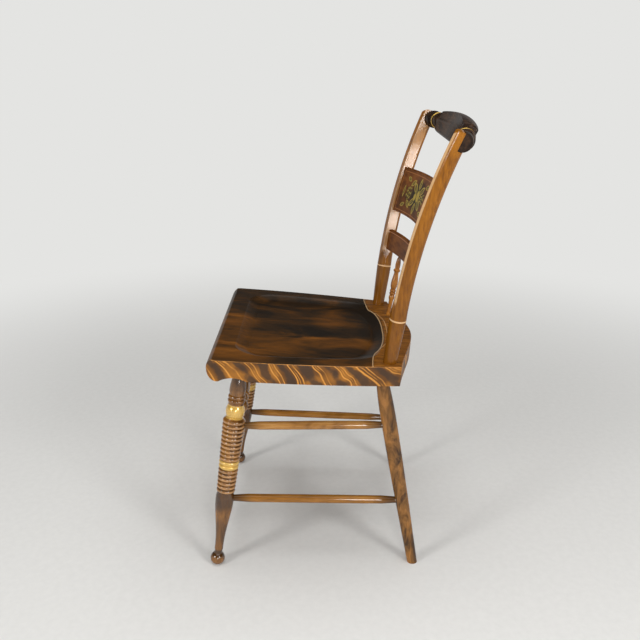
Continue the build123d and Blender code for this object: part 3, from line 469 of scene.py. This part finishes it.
def seat_finish():
    """Dark combed top, a deck behind the gutter line lightened by painted reflection, veined edges, and
    a painted highlight along the side arrises.
    """
    finish = Finish("grained_seat_paint")
    x, y, _ = finish.parts(finish.place)
    nx, _, nz = finish.parts(finish.facing)
    across = finish.calc("ABSOLUTE", x)
    back = finish.calc("SUBTRACT", y, SEAT_FRONT)
    top, streaks = seat_top_paint(finish, x, back)

    past_deck = finish.calc("SUBTRACT", back, finish.curve(across, DECK_LINE, *LINES_BETWEEN))
    past_lip = finish.calc("SUBTRACT", back, finish.curve(across, LIP_LINE, *LINES_BETWEEN))
    # Behind the gutter line the deck is painted lighter: painted reflection of the room in its glossy
    # top, over the paint's streaks.
    deck = finish.ramp(streaks, (0.34, DARK_BROWN), (0.46, CHESTNUT), (0.60, HONEY), (0.75, DECK_REFLECTION_BROWN))
    colour = finish.mix(finish.step(past_deck, 0.0, DECK_PAINT_RUNOUT), top, deck)
    edge = finish.step(nz, 0.20, 0.60, 1.0, 0.0)
    colour = finish.mix(edge, colour, seat_edge_paint(finish))
    colour = finish.mix(finish.step(nz, -0.8, -0.5, 1.0, 0.0), colour, UNDERSIDE_BROWN)

    gutter = finish.most(
        finish.band(past_deck, *DECK_GUTTER),
        finish.both(finish.band(past_lip, *LIP_GUTTER), 0.8),
    )
    gutter = finish.both(gutter, finish.step(nz, 0.6, 0.8))
    colour = finish.mix(finish.both(gutter, 0.55), colour, CREAM_LINE)
    # Painted highlight: a light streak in the vein colour along the arris between the top and each
    # side, broken up by noise.
    sideways = finish.step(finish.calc("ABSOLUTE", nx), 0.15, 0.35)
    arris = finish.both(finish.step(nz, 0.30, 0.5), finish.step(nz, 0.74, 0.84, 1.0, 0.0))
    arris = finish.both(arris, sideways)
    mottled = finish.step(finish.noise(finish.place, 40.0), 0.40, 0.60, 0.2, 0.75)
    colour = finish.mix(finish.both(arris, mottled), colour, VEIN_AND_EDGE_HIGHLIGHT)
    height = finish.calc("SUBTRACT", finish.both(streaks, 0.25), gutter)
    roughness = finish.satin(streaks, 0.34, 0.50)
    return finish.dress(colour, roughness, height, SEAT_RELIEF, coat=0.5, polish=0.30)


# ---- posts ----
def post_frame():
    """The left post's foot, its direction up and its direction outwards."""
    foot = (POST_FOOT_SIDE, SEAT_FRONT + POST_FOOT_BACK, POST_FOOT_HEIGHT)
    up = (
        math.sin(POST_FLARE) * math.cos(POST_LEAN),
        math.sin(POST_LEAN),
        math.cos(POST_FLARE) * math.cos(POST_LEAN),
    )
    outwards = (math.cos(POST_FLARE), 0.0, -math.sin(POST_FLARE))
    return foot, up, outwards


def post_finish():
    """Honey paint, a cream ring over the turned length, cream lines, and a painted reflection that
    makes the inner flat paler.
    """
    finish = Finish("honey_post_paint")
    colour, streaks, clouds = grain_paint(finish, POST_BROWNS, "Z", 240.0, 60.0, 0.5)
    foot, up, outwards = post_frame()
    height = finish.along(foot, up)
    foot_shade = finish.both(
        finish.step(height, *POST_FOOT_SHADE, 1.0, 0.0), finish.step(clouds, 0.36, 0.60, 0.25, 1.0)
    )
    turned_shade = finish.step(height, POST_RING - 0.003, POST_RING + 0.004, 0.50, 0.0)
    long_shade = finish.step(height, *POST_LONG_SHADE, 0.36, 0.0)
    shade = finish.most(finish.both(foot_shade, 0.65), turned_shade, long_shade)
    colour = finish.mix(shade, colour, POST_SHADE)
    ring = finish.band(height, *POST_RING_BAND)
    outward = finish.along(foot, outwards)
    above_ring = finish.step(height, POST_LINES_FROM, POST_LINES_FROM + POST_LINES_RUNOUT)
    # Painted reflection: the inner flat above the ring is paled, as a bright light mirrored in its
    # gloss.
    inner_flat = finish.step(outward, POST_INNER_FACE - 0.0002, POST_INNER_FACE + 0.0005, 1.0, 0.0)
    inner_flat = finish.both(inner_flat, above_ring)
    colour = finish.mix(finish.both(inner_flat, 0.5), colour, INNER_FLAT_REFLECTION)
    _, ny, _ = finish.parts(finish.facing)
    in_front = finish.step(ny, -0.72, -0.58, 1.0, 0.0)
    lines = finish.most(
        finish.band(outward, *POST_INNER_LINE),
        finish.band(outward, *POST_OUTER_LINE),
    )
    lines = finish.both(finish.both(lines, in_front), above_ring)
    gilded = finish.most(ring, finish.both(lines, 0.8))
    roughness = finish.satin(streaks, 0.30, 0.46)
    colour, roughness, _ = finish.gild(colour, roughness, gilded, CREAM_LINE)
    return finish.dress(colour, roughness, streaks, coat=0.6, polish=0.14)


# ---- crest ----
def crest_finish():
    """Near-black paint with two gilt rings."""
    finish = Finish("black_crest_paint")
    colour, streaks, _ = grain_paint(finish, CREST_BLACKS, "X", 150.0, 30.0)
    x, _, _ = finish.parts(finish.place)
    ring = finish.band(finish.calc("ABSOLUTE", x), *CREST_RING)
    roughness = finish.satin(streaks, 0.30, 0.50)
    colour, roughness, mask = finish.gild(colour, roughness, ring)
    return finish.dress(colour, roughness, streaks, metal=finish.both(mask, 0.5), coat=0.25, polish=0.2)


# ---- slats ----
def slat_paint(finish):
    """The two slats' red-brown paint and its streaks."""
    colour, streaks, _ = grain_paint(finish, SLAT_BROWNS, "X", 150.0, 34.0)
    return colour, streaks


def stencil_shapes():
    """Every leaf of the stencil: those of the wreath, worked out by their turn, and the rest."""
    leaves = list(LEAVES)
    for turn, reach, half_length, half_width in WREATH_LEAVES:
        for side in (1, -1) if turn < 180 else (1,):
            angle = math.radians(side * turn)
            place = (WREATH[0] + reach * math.cos(angle), WREATH[1] + reach * math.sin(angle))
            leaves.append((*place, side * turn, half_length, half_width))
    return leaves


def stencil(finish, across, up):
    """Bronze powder leaves, fruit, berries and a flower: where they are, and how bright."""
    leaves = []
    ribs = []
    for shape in stencil_shapes():
        length, width = finish.turned_to(across, up, shape)
        width = finish.calc("ABSOLUTE", width)
        inside = finish.calc("MULTIPLY_ADD", length, length, width)
        leaves.append(inside)
        ribs.append(finish.calc("MULTIPLY_ADD", width, 6.0, finish.both(inside, 0.6)))
    rounds = []
    for shape in FRUITS + CLUSTERS:
        length, width = finish.turned_to(across, up, shape)
        rounds.append(finish.calc("MULTIPLY_ADD", length, length, finish.both(width, width)))
    fruit = finish.least(*rounds[: len(FRUITS)])
    cluster = finish.least(*rounds[len(FRUITS) :])
    leaf = finish.least(*leaves)
    rib = finish.least(*ribs)

    spots = finish.add("ShaderNodeCombineXYZ", X=across, Y=up, Z=0.0).outputs["Vector"]
    grid = {"voronoi_dimensions": "2D"}
    berry = finish.add("ShaderNodeTexVoronoi", grid, Vector=spots, Scale=118.0, Randomness=0.45)
    berry = berry.outputs["Distance"]
    distance = finish.calc("SQRT", finish.calc("MULTIPLY_ADD", across, across, finish.both(up, up)))
    lobes = finish.calc("COSINE", finish.both(finish.calc("ARCTAN2", up, across), 4.0))
    lobes = finish.calc("ABSOLUTE", lobes)
    reach = finish.calc("MULTIPLY_ADD", lobes, 0.42 * FLOWER_REACH, 0.58 * FLOWER_REACH)
    flower = finish.calc("DIVIDE", distance, reach)

    leaf_mask = finish.step(leaf, 0.90, 1.0, 1.0, 0.0)
    rib_mask = finish.both(leaf_mask, finish.step(rib, 0.55, 0.95, 1.0, 0.0))
    in_cluster = finish.step(cluster, 0.85, 1.0, 1.0, 0.0)
    berry_mask = finish.both(in_cluster, finish.step(berry, 0.44, 0.52, 1.0, 0.0))
    fruit_mask = finish.step(fruit, 0.92, 1.0, 1.0, 0.0)
    flower_mask = finish.step(flower, 0.92, 1.0, 1.0, 0.0)
    petal_edge = finish.step(flower, 0.35, 0.95)
    flower_eye = finish.step(flower, 0.12, 0.22, 1.0, 0.0)

    bright = finish.most(finish.step(leaf, 0.20, 0.90), rib_mask)
    bright = finish.blend(berry_mask, bright, finish.step(berry, 0.05, 0.45, 1.0, 0.15))
    bright = finish.blend(fruit_mask, bright, finish.step(fruit, 0.25, 0.95, 1.0, 0.2))
    bright = finish.blend(flower_mask, bright, finish.most(petal_edge, flower_eye))
    covered = finish.most(leaf_mask, berry_mask, fruit_mask, flower_mask)
    return covered, bright


def border_line(finish, up):
    """A thin line all round the slat's face, a little inside its edges and the posts."""
    foot, _, outwards = post_frame()
    from_post = finish.along(foot, outwards)
    height = finish.calc("ABSOLUTE", up)
    rail_at = (SLAT_HIGH - SLAT_LOW) / 2 - BORDER_INSET
    end_at = POST_INNER_FACE - BORDER_INSET
    rails = finish.both(
        finish.band(height, rail_at, BORDER_HALF, BORDER_SOFT),
        finish.step(from_post, end_at, end_at + BORDER_SOFT, 1.0, 0.0),
    )
    ends = finish.both(
        finish.band(from_post, end_at, BORDER_HALF, BORDER_SOFT),
        finish.step(height, rail_at, rail_at + BORDER_SOFT, 1.0, 0.0),
    )
    return finish.most(rails, ends)


def middle_slat_finish():
    """Red-brown paint, bronze stencilling and a thin border on the front face."""
    finish = Finish("stencilled_slat_paint")
    colour, streaks = slat_paint(finish)
    x, _, z = finish.parts(finish.place)
    front = finish.front_face()
    across = finish.calc("ABSOLUTE", x)
    up = finish.calc("SUBTRACT", z, (SLAT_LOW + SLAT_HIGH) / 2)
    length, width = finish.turned_to(across, up, SMOKE)
    smoke = finish.calc("MULTIPLY_ADD", length, length, finish.both(width, width))
    smoke = finish.both(finish.step(smoke, 0.2, 1.2, 0.9, 0.0), front)
    colour = finish.mix(smoke, colour, LEAF_SHADE)
    covered, bright = stencil(finish, across, up)
    # The bronze powder wears through in patches.
    patchy = finish.step(finish.noise(finish.place, 300.0, 4.0, 0.7), 0.30, 0.50, 0.45, 1.0)
    covered = finish.both(finish.both(covered, front), patchy)
    powder = finish.ramp(bright, (0.0, LEAF_SHADE), (0.30, OLIVE), (0.85, BRONZE))
    colour = finish.mix(covered, colour, powder)
    border = finish.both(finish.both(border_line(finish, up), front), 0.8)
    roughness = finish.satin(streaks, 0.36, 0.50)
    colour, roughness, _ = finish.gild(colour, roughness, border, BORDER_GILT)
    return finish.dress(colour, roughness, streaks, coat=0.2, polish=0.2)


def lower_slat_finish():
    """Red-brown paint with one thin line under the top edge of the front face."""
    finish = Finish("lined_slat_paint")
    colour, streaks = slat_paint(finish)
    _, _, z = finish.parts(finish.place)
    line = finish.both(finish.band(z, *LOWER_LINE), finish.front_face())
    line = finish.both(line, 0.85)
    roughness = finish.satin(streaks, 0.34, 0.48)
    colour, roughness, _ = finish.gild(colour, roughness, line, LOWER_LINE_GILT)
    return finish.dress(colour, roughness, streaks, coat=0.2, polish=0.2)


# ---- legs, stretchers and spindles ----
def front_leg_finish():
    """Brown varnished paint, darker in bands at the vase, calf, ankle and foot, with painted highlights
    on the ring crests, a gilt ball and two gilt rings.
    """
    finish = Finish("front_leg_paint")
    colour, streaks, _ = grain_paint(finish, FRONT_LEG_BROWNS, "Z", 120.0, 34.0)
    foot = Vector((LEG_FOOT_SIDE, SEAT_FRONT + LEG_FOOT_BACK, 0.0))
    top = Vector((LEG_TOP_SIDE, SEAT_FRONT + LEG_TOP_BACK, LEG_TOP_HEIGHT))
    height = finish.along(foot, (top - foot).normalized())
    vase = finish.step(height, LEG_VASE_FROM, LEG_VASE_FROM + 0.012, 0.0, 0.55)
    calf = finish.both(finish.band(height, *LEG_CALF_SHADE), 0.9)
    ankle = finish.both(finish.band(height, *LEG_ANKLE_SHADE), 0.5)
    shade = finish.most(vase, calf, ankle, finish.band(height, *LEG_FOOT_SHADE))
    colour = finish.mix(finish.both(shade, 0.8), colour, FRONT_LEG_SHADE)
    # Painted highlight: the crest of each ring is lightened, broken up by noise, to stand for the
    # lamps' glints on the rings.
    turns = finish.both(finish.calc("SUBTRACT", height, LEG_RINGS_FROM), math.tau / RING_PITCH)
    crests = finish.step(finish.calc("COSINE", turns), -1.0, 0.7, 1.0, 0.0)
    rings_middle = (LEG_RINGS_FROM + LEG_BALL[0]) / 2
    ringed = finish.band(height, rings_middle, (LEG_BALL[0] - LEG_RINGS_FROM) / 2, 0.001)
    mottled = finish.step(finish.noise(finish.place, 90.0), 0.35, 0.60, 0.4, 0.85)
    patchy = finish.both(finish.both(crests, ringed), mottled)
    colour = finish.mix(patchy, colour, RING_CREST_HIGHLIGHT)
    ball_middle = sum(LEG_BALL) / 2
    ball = finish.band(height, ball_middle, LEG_BALL[1] - ball_middle, 0.0008)
    rings = finish.band(height, sum(LEG_GILT_RINGS) / 2, RING_PITCH - 0.0004, 0.0006)
    roughness = finish.satin(streaks, 0.22, 0.36)
    colour, roughness, mask = finish.gild(colour, roughness, finish.most(ball, rings), LEG_GILT)
    metal = finish.both(mask, 0.3)
    return finish.dress(colour, roughness, streaks, metal=metal, coat=1.0, polish=0.05, gloss=1.65)


def turned_wood_finish(name, browns, run, fine, broad, coat, mottle=0.62, shade=None):
    """Plain grained paint under varnish, for the pieces without gilding."""
    finish = Finish(name)
    colour, streaks, clouds = grain_paint(finish, browns, run, fine, broad, mottle)
    if shade:
        colour = finish.mix(shade(finish, clouds), colour, PLAIN_SHADE)
    roughness = finish.satin(streaks, 0.26, 0.42)
    return finish.dress(colour, roughness, streaks, coat=coat)


def rear_leg_shade(finish, clouds):
    """Painted shade under the seat, breaking up on the way down."""
    _, _, z = finish.parts(finish.place)
    near_seat = finish.step(z, *REAR_LEG_SHADE, 0.0, 0.8)
    return finish.both(near_seat, finish.step(clouds, 0.34, 0.60, 1.0, 0.5))


def stretcher_end_shade(piece):
    """Darker paint for the last stretch before each leg."""
    low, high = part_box(piece)
    middle = (low.y + high.y) / 2
    half = (high.y - low.y) / 2

    def shade(finish, clouds):
        _, y, _ = finish.parts(finish.place)
        reach = finish.calc("ABSOLUTE", finish.calc("SUBTRACT", y, middle))
        reach = finish.calc("MULTIPLY_ADD", clouds, STRETCHER_SHADE_WANDER, reach)
        return finish.step(reach, half - STRETCHER_SHADE_FROM, half + STRETCHER_SHADE_TO, 0.0, 0.8)

    return shade


def side_stretcher_finish(level, browns):
    """Grained paint that darkens towards both legs, for the left and right stretcher alike."""
    shade = stretcher_end_shade(f"left_{level}_side_stretcher")
    return turned_wood_finish(f"{level}_stretcher_paint", browns, "Y", 140.0, 24.0, 0.8, shade=shade)


def finish_nodes():
    """Gives each piece the first finish here that its name ends with."""
    rear_leg = turned_wood_finish(
        "rear_leg_paint", REAR_LEG_BROWNS, "Z", 120.0, 40.0, 0.7, 0.85, rear_leg_shade
    )
    cross_stretcher = turned_wood_finish(
        "cross_stretcher_paint", LOWER_STRETCHER_BROWNS, "X", 140.0, 24.0, 0.8
    )
    finishes = {
        "seat_plank": seat_finish(),
        "_post": post_finish(),
        "crest_rail": crest_finish(),
        "crest_dowels": turned_wood_finish("bare_dowel_wood", DOWEL_WOODS, "Y", 200.0, 40.0, 0.0),
        "middle_slat": middle_slat_finish(),
        "lower_slat": lower_slat_finish(),
        "_spindle": turned_wood_finish("spindle_paint", SPINDLE_BROWNS, "Z", 180.0, 60.0, 0.8),
        "front_leg": front_leg_finish(),
        "rear_leg": rear_leg,
        "upper_side_stretcher": side_stretcher_finish("upper", UPPER_STRETCHER_BROWNS),
        "lower_side_stretcher": side_stretcher_finish("lower", LOWER_STRETCHER_BROWNS),
        "_stretcher": cross_stretcher,
    }
    for name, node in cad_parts.items():
        material = next(finish for ending, finish in finishes.items() if name.endswith(ending))
        node.data.materials.clear()
        node.data.materials.append(material)


# ---- surroundings ----
def seen_by_eye_or_gloss(tree):
    """1 for what the camera, a reflection or clear glass sees, 0 for the light that falls."""
    path = tree.nodes.new("ShaderNodeLightPath")
    result = path.outputs["Is Camera Ray"]
    for other in ("Is Glossy Ray", "Is Transmission Ray"):
        larger = tree.nodes.new("ShaderNodeMath")
        larger.operation = "MAXIMUM"
        tree.links.new(result, larger.inputs[0])
        tree.links.new(path.outputs[other], larger.inputs[1])
        result = larger.outputs["Value"]
    return result


def floor_finish():
    """Plain pale floor that keeps the object's shadow and runs into the backdrop's colour."""
    finish = Finish("pale_floor")
    speckle = finish.noise(finish.place, 70.0, 3.0)
    colour = finish.ramp(speckle, (0.3, FLOOR_SPECKLE[0]), (0.7, FLOOR_SPECKLE[1]))
    finish.dress(colour, 0.85, coat=0.0)
    x, y, _ = finish.parts(finish.place)
    distance = finish.calc("SQRT", finish.calc("MULTIPLY_ADD", x, x, finish.both(y, y)))
    far = finish.both(finish.step(distance, *FLOOR_FADE), seen_by_eye_or_gloss(finish.tree))
    glow = finish.add("ShaderNodeEmission", Color=BACKDROP, Strength=1.0)
    blend = finish.add("ShaderNodeMixShader", Fac=far)
    finish.feed(blend.inputs[1], finish.surface.outputs["BSDF"])
    finish.feed(blend.inputs[2], glow.outputs["Emission"])
    finish.feed(finish.tree.nodes["Material Output"].inputs["Surface"], blend.outputs["Shader"])
    return finish.material


def lay_floor():
    bpy.ops.object.select_all(action="DESELECT")
    bpy.ops.mesh.primitive_plane_add(size=FLOOR_SIZE)
    floor = bpy.context.object
    floor.name = "floor"
    bpy.ops.object.transform_apply(location=True, rotation=True, scale=True)
    floor.data.materials.append(floor_finish())


def soft_light(name, place, target, size, power):
    bpy.ops.object.light_add(type="AREA", location=place)
    lamp = bpy.context.object
    lamp.name = name
    lamp.data.shape = "RECTANGLE"
    lamp.data.size, lamp.data.size_y = size
    lamp.data.energy = power
    aim = Vector(target) - Vector(place)
    lamp.rotation_euler = aim.to_track_quat("-Z", "Y").to_euler()


def backdrop_colour(tree):
    """Pale to the camera; gloss sees it fade to the room's shade above the horizon."""
    direction = tree.nodes.new("ShaderNodeTexCoord").outputs["Generated"]
    upward = tree.nodes.new("ShaderNodeSeparateXYZ")
    tree.links.new(direction, upward.inputs["Vector"])
    fade = tree.nodes.new("ShaderNodeValToRGB")
    ends = zip(fade.color_ramp.elements, HORIZON_FADE, (BACKDROP, ROOM_SHADE))
    for element, position, colour in ends:
        element.position = position
        element.color = colour
    tree.links.new(upward.outputs["Z"], fade.inputs["Fac"])
    seen = tree.nodes.new("ShaderNodeMix")
    seen.data_type = "RGBA"
    by_camera = tree.nodes.new("ShaderNodeLightPath").outputs["Is Camera Ray"]
    tree.links.new(by_camera, seen.inputs["Factor"])
    tree.links.new(fade.outputs["Color"], seen.inputs[6])
    seen.inputs[7].default_value = BACKDROP
    return seen.outputs[2]


def light_room():
    """Even light, a pale backdrop behind the chair, and the softboxes."""
    world = bpy.data.worlds.new("room")
    bpy.context.scene.world = world
    world.use_nodes = True
    tree = world.node_tree
    even = tree.nodes["Background"]
    even.inputs["Color"].default_value = EVEN_LIGHT
    even.inputs["Strength"].default_value = EVEN_STRENGTH
    backdrop = tree.nodes.new("ShaderNodeBackground")
    tree.links.new(backdrop_colour(tree), backdrop.inputs["Color"])
    blend = tree.nodes.new("ShaderNodeMixShader")
    tree.links.new(seen_by_eye_or_gloss(tree), blend.inputs["Fac"])
    tree.links.new(even.outputs["Background"], blend.inputs[1])
    tree.links.new(backdrop.outputs["Background"], blend.inputs[2])
    tree.links.new(blend.outputs["Shader"], tree.nodes["World Output"].inputs["Surface"])
    for softbox in SOFTBOXES:
        soft_light(*softbox)


def place_camera():
    bpy.ops.object.camera_add()
    camera = bpy.context.object
    camera.name = "camera"
    level = math.cos(CAMERA_PITCH)
    ahead = Vector(
        (-math.cos(CAMERA_YAW) * level, -math.sin(CAMERA_YAW) * level, -math.sin(CAMERA_PITCH))
    )
    right = ahead.cross(Vector((0.0, 0.0, 1.0))).normalized()
    up = right.cross(ahead)
    turned_right = right * math.cos(CAMERA_ROLL) + up * math.sin(CAMERA_ROLL)
    turned_up = up * math.cos(CAMERA_ROLL) - right * math.sin(CAMERA_ROLL)
    place = Vector((CAMERA_SIDE, SEAT_FRONT + CAMERA_BACK, CAMERA_HEIGHT))
    axes = Matrix((turned_right, turned_up, -ahead)).transposed().to_4x4()
    camera.matrix_world = Matrix.Translation(place) @ axes
    camera.data.sensor_width = SENSOR_WIDTH
    camera.data.lens = CAMERA_LENS
    bpy.context.scene.camera = camera


finish_nodes()
lay_floor()
light_room()
place_camera()
bpy.context.scene.view_settings.view_transform = "Standard"
